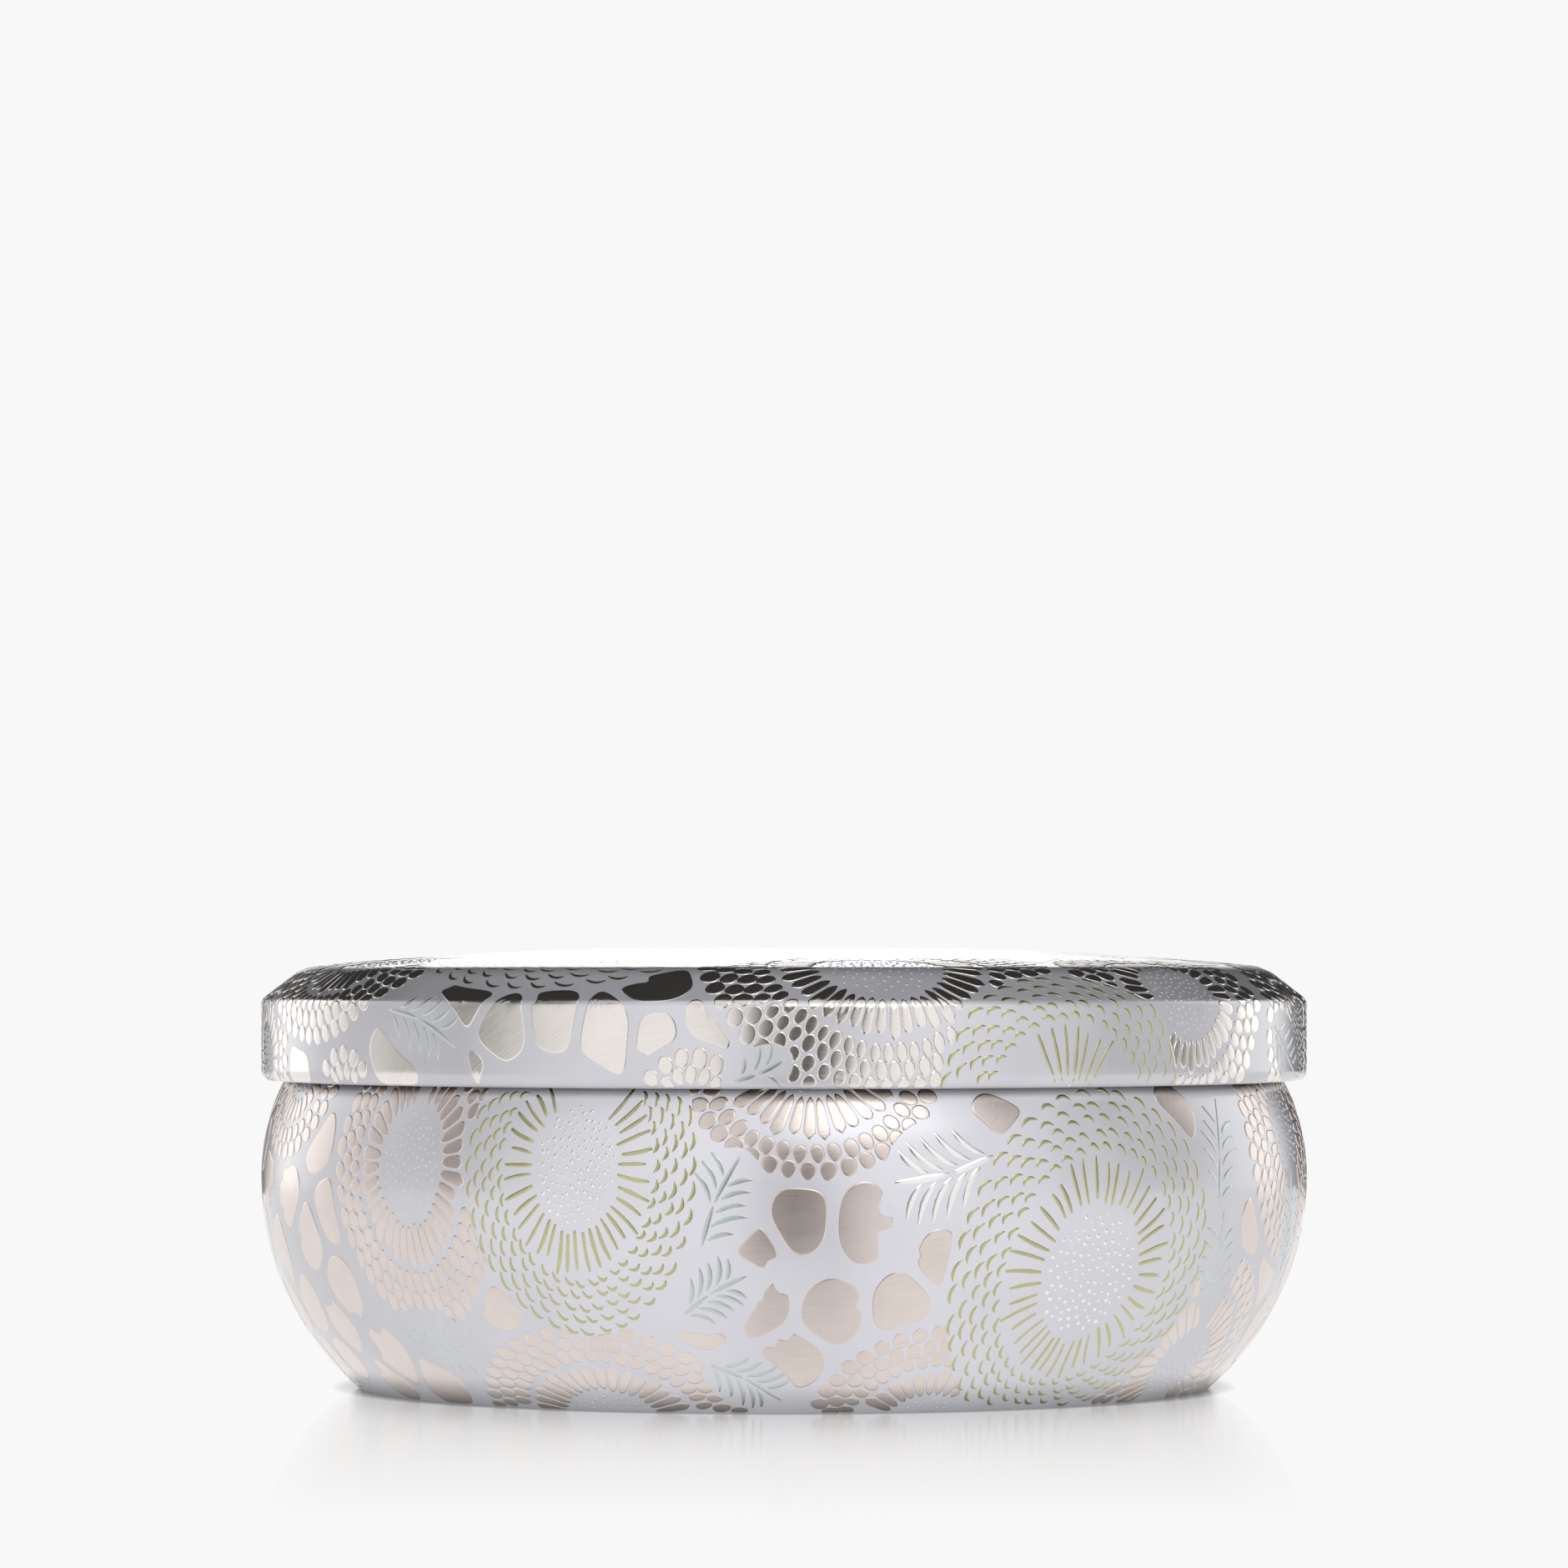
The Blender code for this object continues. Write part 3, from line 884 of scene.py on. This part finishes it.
def turned(profile, steps, centre=(0, 0)):
    """Points and faces of a profile turned about an upright axis. The profile runs down the outside."""
    azimuths = np.linspace(0, 2 * math.pi, steps, endpoint=False)
    rows = np.empty((len(profile), steps, 3))
    rows[:, :, 0] = centre[0] + profile[:, :1] * np.sin(azimuths)
    rows[:, :, 1] = centre[1] - profile[:, :1] * np.cos(azimuths)
    rows[:, :, 2] = profile[:, 1:]
    numbers = np.arange(len(profile) * steps).reshape(len(profile), steps)
    numbers = np.column_stack((numbers, numbers[:, 0]))
    quads = np.stack((numbers[:-1, :-1], numbers[1:, :-1], numbers[1:, 1:], numbers[:-1, 1:]), axis=-1)
    return rows.reshape(-1, 3), quads.reshape(-1, 4)


def turned_piece(name, profile, look, body, stands_for):
    """A piece of turned sheet metal, closed where its profile meets the axis."""
    points, faces = turned(profile, TURN_STEPS)
    piece = mesh_piece(name, points, faces.tolist(), look, body, stands_for)
    work = bmesh.new()
    work.from_mesh(piece.data)
    bmesh.ops.remove_doubles(work, verts=work.verts, dist=0.0005 * MM)
    work.to_mesh(piece.data)
    work.free()


def make_bowl(print_ground, bare):
    """The bowl's drawn sheet: printed outside up to its neck, bare inside, underneath and round the rim."""
    foot_inner = FOOT_RADIUS - FOOT_WIDTH
    recess_edge = foot_inner - BASE_RECESS / 3
    floor_top = BASE_RECESS + SHEET
    rim_centre = (RIM_RADIUS - RIM_CURL, RIM_TOP - RIM_CURL)
    roll_out = arc(rim_centre, RIM_CURL, 180, RIM_ROLL_END)
    roll_back = arc(rim_centre, RIM_CURL - SHEET, RIM_ROLL_END, 180)
    outside = body_skin.profile
    printed = outside[outside[:, 1] <= BODY_PRINT_TOP + GROUND_RISE]
    neck = outside[outside[:, 1] >= printed[0, 1]]
    foot = straight(printed[-1], (foot_inner, 0))
    recess = (recess_edge, BASE_RECESS)
    underside = joined(foot, straight(foot[-1], recess), straight(recess, (0, BASE_RECESS)))
    inner_side = bowl_side(SHEET, SHEET)[::-1]
    floor_edge = (recess_edge + SHEET, floor_top)
    inner_foot = straight(floor_edge, (foot_inner + SHEET, SHEET))
    inner_floor = joined(straight((0, floor_top), floor_edge), inner_foot)
    inner_neck = straight(inner_side[-1], (NECK_RADIUS - SHEET, RIM_TOP - RIM_CURL))
    inside = joined(inner_floor, inner_side, inner_neck, roll_out, roll_back, neck)

    turned_piece("bowl_inside_and_rim", inside, bare, "tin", "tin_body")
    turned_piece("bowl_print_ground", printed, print_ground, "tin", "tin_body")
    turned_piece("bowl_underside", underside, bare, "tin", "tin_body")


def make_lid(print_ground, bare):
    """The lid's sheet: printed outside and part of the way round its rolled edge, bare from there on."""
    roll_out = lid_roll(0, LID_PRINT_END, LID_ROLL_END)
    inside = joined(roll_out, lid_roll(SHEET, LID_ROLL_END, 0), lid_side(SHEET)[::-1])
    inside = joined(inside, straight(inside[-1], (0, LID_TOP - SHEET)))
    turned_piece("lid_print_ground", lid_skin.profile, print_ground, "lid", "lid")
    turned_piece("lid_inside_and_edge", inside, bare, "lid", "lid")


def make_print(prefix, sheets, looks, body, node):
    """One piece for each colour of a drawing."""
    for colour, sheet in sheets.items():
        points = np.vstack(sheet.points)
        mesh_piece(f"{prefix}_{colour}", points, sheet.faces, looks[colour], body, node)


WAX_SINK = 0.55              # how far the wax sank as it set
WAX_CLIMB = (0.5, 1.1)       # how far it climbs the bowl, and how quickly that dies away
WICK_CLIMB = (0.35, 0.7)     # the same up a wick
WICK_DIP = (0.22, 6.5)       # depth and width of the hollow round a wick
EDGE_BAND = 3.0              # width of the finer band by the bowl
WAX_STEPS = 192
YARNS = 8
YARN_RADIUS = 0.38
YARN_LAY = 5.2               # height in which a yarn goes once round
WEAVE = 0.16                 # how far yarns pass over and under each other


def wick_places():
    """Each wick's number, middle, bottom, top and radius."""
    for number in (1, 2, 3):
        low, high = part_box(f"wick_{number}")
        middle = np.array(((low.x + high.x) / 2, (low.y + high.y) / 2)) / MM
        yield number, middle, low.z / MM, high.z / MM, (high.x - low.x) / 2 / MM


def make_wax(look):
    """The wax fill: a top that sank a little as it set and climbs the bowl and the wicks."""
    inset = SHEET + GAP
    edge_radius = NECK_RADIUS - inset
    side = bowl_side(inset, STICKER_BOTTOM)
    side = side[side[:, 1] < WAX_TOP - 0.2]
    fine = edge_radius - EDGE_BAND
    reach = np.concatenate((np.linspace(0, fine, 70), np.linspace(fine, edge_radius, 14)[1:]))
    top = np.column_stack((reach, np.full(len(reach), WAX_TOP)))
    bottom = straight((side[-1, 0], STICKER_BOTTOM), (0, STICKER_BOTTOM))
    profile = joined(top, side, bottom)
    points, faces = turned(profile, WAX_STEPS)
    on_top = points[:, 2] > WAX_TOP - SAME
    across = np.hypot(points[:, 0], points[:, 1])
    dip = -WAX_SINK + WAX_CLIMB[0] * np.exp(-(edge_radius - across) / WAX_CLIMB[1])
    for _, place, _, _, radius in wick_places():
        away = np.hypot(points[:, 0] - place[0], points[:, 1] - place[1])
        climb = WICK_CLIMB[0] * np.exp(-np.maximum(away - radius, 0) / WICK_CLIMB[1])
        dip += climb - WICK_DIP[0] * np.exp(-(away / WICK_DIP[1]) ** 2)
    points[on_top, 2] += np.minimum(dip[on_top], 0)
    mesh_piece("wax_surface", points, faces.tolist(), look, "tin", "wax_fill")


def make_wicks(look):
    """Braided cotton: eight yarns that wind both ways round a core and pass over and under each other."""
    ring = np.linspace(0, 2 * math.pi, 8, endpoint=False)
    for number, place, low, top, radius in wick_places():
        sheet = Sheet()
        heights = np.arange(low, top - 0.2, 0.22)
        for strand in range(YARNS):
            hand = 1 if strand % 2 else -1
            turn = hand * heights / YARN_LAY * 2 * math.pi + strand * math.pi / 4
            weave = WEAVE * np.sin(4 * turn * 2 * hand + strand * math.pi / 2)
            out = radius - YARN_RADIUS - 0.12 + weave * 0.6
            middle = np.column_stack((place[0] + out * np.cos(turn), place[1] + out * np.sin(turn), heights))
            way = np.gradient(middle, axis=0)
            way /= np.linalg.norm(way, axis=1)[:, None]
            outward = np.column_stack((np.cos(turn), np.sin(turn), np.zeros(len(turn))))
            side = np.cross(way, outward)
            rows = (
                middle[:, None]
                + outward[:, None] * (np.cos(ring) * YARN_RADIUS * 0.8)[None, :, None]
                + side[:, None] * (np.sin(ring) * YARN_RADIUS * 1.15)[None, :, None]
            )
            sheet.add(rows, closed=True)
        core_profile = np.array(((0, top - 0.3), (radius * 0.55, top - 0.35), (radius * 0.6, low)))
        core_points, core_faces = turned(core_profile, 12, centre=place)
        points = np.vstack(sheet.points + [core_points])
        faces = sheet.faces + (core_faces + sheet.count).tolist()
        mesh_piece(f"wick_braid_{number}", points, faces, look, "tin", f"wick_{number}")


# ==== Studio ====

CAMERA_DISTANCE = 800.0
CAMERA_HEIGHT = 49.8
LENS = 159.3
CAMERA_PITCH = 1.39
PAPER_WHITE = 0.939          # the backdrop's brightness, as light


def make_camera():
    """A long lens a little above the tin, tipped up so that the tin stands low in the frame."""
    data = bpy.data.cameras.new("camera")
    data.lens = LENS
    data.sensor_width = 36
    data.clip_start = 0.05
    data.clip_end = 60
    camera = bpy.data.objects.new("camera", data)
    camera.location = (0, -CAMERA_DISTANCE * MM, CAMERA_HEIGHT * MM)
    camera.rotation_euler = (math.radians(90 + CAMERA_PITCH), 0, 0)
    bpy.context.scene.collection.objects.link(camera)
    bpy.context.scene.camera = camera


# Lengths of the table and the lights are metres.
TABLE_RADIUS = 0.5           # past it the metal sees the room, and the camera the same white
TABLE_SIDES = 96
FLOOR_LIGHT = 0.58           # light that the floor gives to matt surfaces
CONTACT_REACH = 0.003        # how far the shadow where the tin stands spreads
CONTACT_DARK = 0.08          # and its darkest share of the paper's white
MIRROR_NEAR = 0.055          # where the table's mirror image starts to fade, from the middle of the tin
MIRROR_FAR = 0.19
MIRROR_SHARE = 0.82
RIPPLE = (-0.014, 0.026)     # slopes of the table's ripple, towards and away from the camera
DARK_AZIMUTH = 2.0           # middle of the painted dark in front of the tin, which only the metal sees in the table
DARK_SHARE = 0.9
DARK_SIDES = (4.0, 11.0)     # degrees from that middle over which the dark fades
DARK_REACH = (0.05, 0.12)    # distances from the middle of the tin over which it grows


def make_floor():
    """A white glossy table that mirrors the foot of the tin and fades into the white backdrop."""
    look = Look("floor")
    tree = look.tree
    output = tree.nodes["Material Output"]
    tree.nodes.remove(look.shader)
    x, y, _ = look.place()
    reach = look.reach(x, y)
    shade = look.node("ShaderNodeAmbientOcclusion", Distance=CONTACT_REACH).outputs["AO"]
    paper = look.between(shade, CONTACT_DARK * PAPER_WHITE, PAPER_WHITE, 0.1, 0.7)

    # Painted reflection: seen from the tin, the table's glow is darkened in front for the dark round the camera
    # that it would mirror, but not close to its foot.
    painted_dark_front = look.spot(look.bearing(x, y), DARK_AZIMUTH, *DARK_SIDES, DARK_SHARE)
    dark = look.times(painted_dark_front, look.between(reach, 0.0, 1.0, *DARK_REACH))
    path = look.node("ShaderNodeLightPath").outputs
    dark = look.times(dark, path["Is Glossy Ray"])
    seen = look.times(paper, look.less(1.0, dark))
    matt = path["Is Diffuse Ray"]
    seen = look.times(look.less(1.0, matt), seen)
    glow = look.plus(look.times(matt, FLOOR_LIGHT), seen)
    white = look.node("ShaderNodeEmission", Color=(1, 1, 1, 1), Strength=glow)

    # A sharp mirror whose fine ripple smears the image up and down.
    ripple = look.node("ShaderNodeTexWhiteNoise", Vector=look.scaled(1e5)).outputs["Value"]
    lean = look.between(ripple, RIPPLE[0], RIPPLE[1], 0.0, 1.0)
    normal = look.node("ShaderNodeCombineXYZ", X=0.0, Y=lean, Z=1.0).outputs[0]
    gloss = look.node("ShaderNodeBsdfGlossy", Color=(1, 1, 1, 1), Roughness=0.0, Normal=normal)
    near = look.between(reach, MIRROR_SHARE, 0.0, MIRROR_NEAR, MIRROR_FAR)
    shine = look.node("ShaderNodeFresnel", IOR=1.5).outputs[0]
    mixed = look.node("ShaderNodeMixShader", Fac=look.times(near, shine))
    tree.links.new(white.outputs[0], mixed.inputs[1])
    tree.links.new(gloss.outputs[0], mixed.inputs[2])
    tree.links.new(mixed.outputs[0], output.inputs[0])
    mesh = bpy.data.meshes.new("floor")
    angles = np.linspace(0, 2 * math.pi, TABLE_SIDES, endpoint=False)
    rim = [(TABLE_RADIUS * math.cos(angle), TABLE_RADIUS * math.sin(angle), 0) for angle in angles]
    mesh.from_pydata(rim, [], [tuple(range(len(rim)))])
    mesh.materials.append(look.material)
    look.material.cycles.emission_sampling = "NONE"
    floor = bpy.data.objects.new("floor", mesh)
    bpy.context.scene.collection.objects.link(floor)


# How bright the room is at each azimuth, low down all round the tin: (degrees from the front, brightness).
ROOM = (
    (-180, 1.7), (-175, 1.1), (-171, 0.1), (-160, 0.12), (-153, 0.55), (-140, 1.7), (-124, 1.05),
    (-98, 0.55), (-72, 0.26), (-54, 0.75), (-40, 0.92), (-20, 0.9), (-12, 0.85), (-5, 0.25), (1, 0.04),
    (8, 0.05), (13, 0.38), (19, 0.88), (32, 1.0), (60, 0.6), (82, 0.2), (94, 0.22), (108, 0.68), (118, 1.2),
    (136, 1.5), (143, 0.7), (148, 0.15), (153, 0.01), (171, 0.01), (176, 0.9), (180, 1.7),
)
RAMP_TOP = 2.0               # the brightness that a ramp's white stands for
OVERHEAD = 0.03              # brightness of the ceiling
AMBIENT = 0.07               # even light on matt surfaces
BACKDROP_TOP = 15.0          # degrees up that the room's low band reaches behind the tin
SIDE_BOX_RISE = 26.0         # and how much further up at its sides and in front
KEY_AZIMUTH = 20.0
KEY_HEIGHT = 38.0
KEY_LEVEL = 2.2
TOP_BOX_ANGLE = 64.0         # degrees up from the front to the middle of the box over the tin
TOP_BOX_LEVEL = 0.8
SOFT_LIGHT_SIZE = (1.1, 0.8)
SOFT_LIGHT_LEAN = 74


def ramp(look, factor, stops):
    """A curve of brightness through (0 to 1, brightness) stops."""
    made = look.node("ShaderNodeValToRGB", Fac=factor)
    elements = made.color_ramp.elements
    for number, (position, bright) in enumerate(stops):
        element = elements[number] if number < 2 else elements.new(position)
        element.position = position
        level = bright / RAMP_TOP
        element.color = (level, level, level, 1)
    return look.times(made.outputs[0], RAMP_TOP)


def make_soft_light(name, energy, place, turn):
    """A large soft light on the ink and the wax. It doesn't show in the metal, which sees the room."""
    data = bpy.data.lights.new(name, "AREA")
    data.shape = "RECTANGLE"
    data.size, data.size_y = SOFT_LIGHT_SIZE
    data.energy = energy
    light = bpy.data.objects.new(name, data)
    light.location = place
    light.rotation_euler = (math.radians(SOFT_LIGHT_LEAN), 0, math.radians(turn))
    light.visible_glossy = False
    light.visible_camera = False
    bpy.context.scene.collection.objects.link(light)


class Room(Look):
    """The world's nodes, built in the same way as a material's."""

    def __init__(self):
        world = bpy.data.worlds.new("studio")
        bpy.context.scene.world = world
        world.use_nodes = True
        self.tree = world.node_tree
        self.shader = self.tree.nodes["Background"]
        world.cycles.sampling_method = "NONE"    # so that the light path below tells matt from glossy


def make_room():
    """The room: plain white paper to the camera.

    The metal sees a band of light and dark all round, a key high up and to the right of the camera, a box
    over the tin, and a dark ceiling.
    """
    room = Room()
    direction = room.node("ShaderNodeTexCoord").outputs["Generated"]
    x, y, z = room.node("ShaderNodeSeparateXYZ", Vector=direction).outputs
    azimuth = room.bearing(x, y)
    height = room.maths("DEGREES", room.maths("ARCSINE", z))
    turn = room.between(azimuth, 0.0, 1.0, -180.0, 180.0)
    low_band = ramp(room, turn, [((a + 180) / 360, bright) for a, bright in ROOM])

    # The low band stops lower down behind the tin than at its sides and in front.
    side_share = room.between(room.maths("ABSOLUTE", azimuth), 1.0, 0.0, 105.0, 150.0)
    top_edge = room.plus(room.times(side_share, SIDE_BOX_RISE), BACKDROP_TOP)
    fade = room.between(room.less(height, top_edge), 1.0, 0.0, -2.0, 6.0)
    band = room.plus(room.times(low_band, fade), OVERHEAD)

    key = room.times(room.spot(azimuth, KEY_AZIMUTH, 16.0, 24.0), room.spot(height, KEY_HEIGHT, 9.0, 16.0))
    key = room.times(key, KEY_LEVEL)
    # A wide soft box hangs over the tin, from some way in front of it to straight above.
    top_box = room.spot(room.bearing(z, y), TOP_BOX_ANGLE, 16.0, 26.0, TOP_BOX_LEVEL)
    width = room.between(room.maths("ABSOLUTE", x), 1.0, 0.0, 0.35, 0.7)
    over_tin = room.times(room.times(top_box, width), room.maths("GREATER_THAN", z, 0.0))
    glossy = room.maths("MAXIMUM", room.maths("MAXIMUM", band, key), over_tin)

    # Matt surfaces see an even room. The camera and the table's mirror see plain paper.
    path = room.node("ShaderNodeLightPath").outputs
    matt = path["Is Diffuse Ray"]
    seen = room.plus(room.times(room.less(1.0, matt), glossy), room.times(matt, AMBIENT))
    camera_share = room.maths("MAXIMUM", path["Is Camera Ray"], path["Is Singular Ray"])
    paper = room.times(camera_share, PAPER_WHITE)
    strength = room.plus(paper, room.times(room.less(1.0, camera_share), seen))
    room.set(room.shader, "Strength", strength)
    room.shader.inputs["Color"].default_value = (1, 1, 1, 1)


# ==== The scene ====

ink = ink_look("print_ground", (0.60, 0.595, 0.64), (0.655, 0.65, 0.695), 0.32, 0.40, 1.0)
lid_ink = ink_look("lid_print_ground", (0.54, 0.535, 0.575), (0.60, 0.595, 0.635), 0.30, 0.42, 1.0)
bare = metal_look("bare_tinplate", (0.70, 0.69, 0.68), (0.78, 0.77, 0.76), 0.26, coat=0.0)
body_windows = metal_look("champagne_metal", (0.70, 0.61, 0.57), (0.80, 0.715, 0.675), 0.29)
lid_windows = metal_look(
    "lid_champagne_metal", (0.80, 0.75, 0.71), (0.90, 0.855, 0.82), 0.18, lid=True, spread=0.03
)
gold = metal_look("gold_strokes", (0.47, 0.455, 0.235), (0.60, 0.585, 0.335), 0.30)
mint = metal_look("mint_strokes", (0.53, 0.59, 0.58), (0.65, 0.70, 0.69), 0.34)
# A whiter copy of the mint metal: a painted highlight on the leaf at 22 degrees, on top of its metal's own
# reflection. The dots of the bowl's brush flowers are drawn in this silver metal too.
silver_and_painted_highlight = metal_look("silver_dots_and_painted_highlight_leaf", (0.88, 0.89, 0.86), (0.95, 0.95, 0.93), 0.24)
strokes = {"gold": gold, "mint": mint, "silver_and_painted_highlight": silver_and_painted_highlight, "metal_dots": lid_windows}
body_looks = dict(strokes, metal=body_windows, ground_dots=ink)
lid_looks = dict(strokes, metal=lid_windows, ground_dots=lid_ink)

make_camera()
make_floor()
make_room()
make_soft_light("front_light", energy=20.3, place=(0.08, -1.3, 0.42), turn=3.5)
make_soft_light("back_light", energy=14.0, place=(-0.08, 1.3, 0.42), turn=183.5)
make_bowl(ink, bare)
make_lid(lid_ink, bare)
make_print("bowl_print", print_body(), body_looks, "tin", "tin_body")
make_print("lid_print", print_lid(), lid_looks, "lid", "lid")
make_wax(wax_look())
make_wicks(cotton_look())
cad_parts["base_label"].material_slots[0].material = paper_look()
foam = foam_look()
steel = metal_look("sustainer_steel", (0.58, 0.58, 0.59), (0.68, 0.68, 0.69), 0.32, coat=0.0)
for number in (1, 2, 3):
    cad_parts[f"wick_sustainer_{number}"].material_slots[0].material = steel
    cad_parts[f"wick_sticker_{number}"].material_slots[0].material = foam

bpy.context.scene.view_settings.view_transform = "Standard"
bpy.context.view_layer.update()
